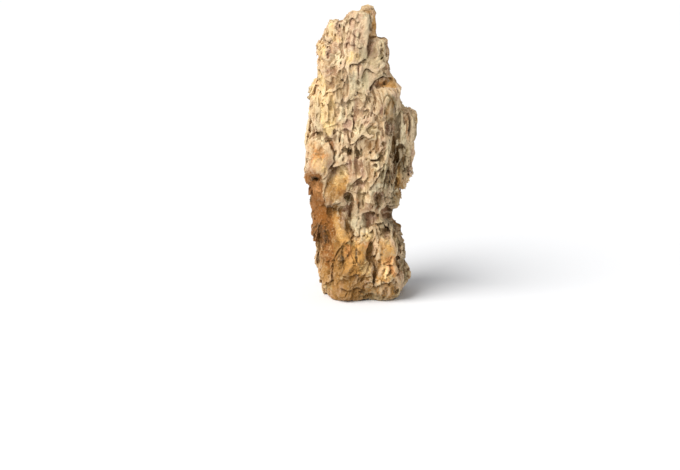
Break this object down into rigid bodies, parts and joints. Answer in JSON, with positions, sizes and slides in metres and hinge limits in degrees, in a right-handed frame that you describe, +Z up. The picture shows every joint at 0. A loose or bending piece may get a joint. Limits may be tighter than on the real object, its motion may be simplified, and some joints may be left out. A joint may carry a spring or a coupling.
{
  "type": "dragon stone",
  "caption": "Tall upright pillar of pitted, ochre-brown dragon stone with ledges, washed-out hollows, a side fin and a flat foot to stand on, for aquariums and miniature landscapes.",
  "frame": {"origin": "the middle of the flat foot that the stone stands on", "axes": "+Z up along the pillar, which is its longest extent; -Y is the side meant to be seen; +X is to the right of someone who looks at that side, where the fin stands out"},
  "size_m": [0.1552, 0.1219, 0.403],
  "materials": {
    "stone": "matt, pitted, water-washed clay stone, ochre to cream with grey-mauve patches and dark brown hollows"
  },
  "bodies": {
    "root": {"dragon_stone": "stone"}
  },
  "joints": []
}
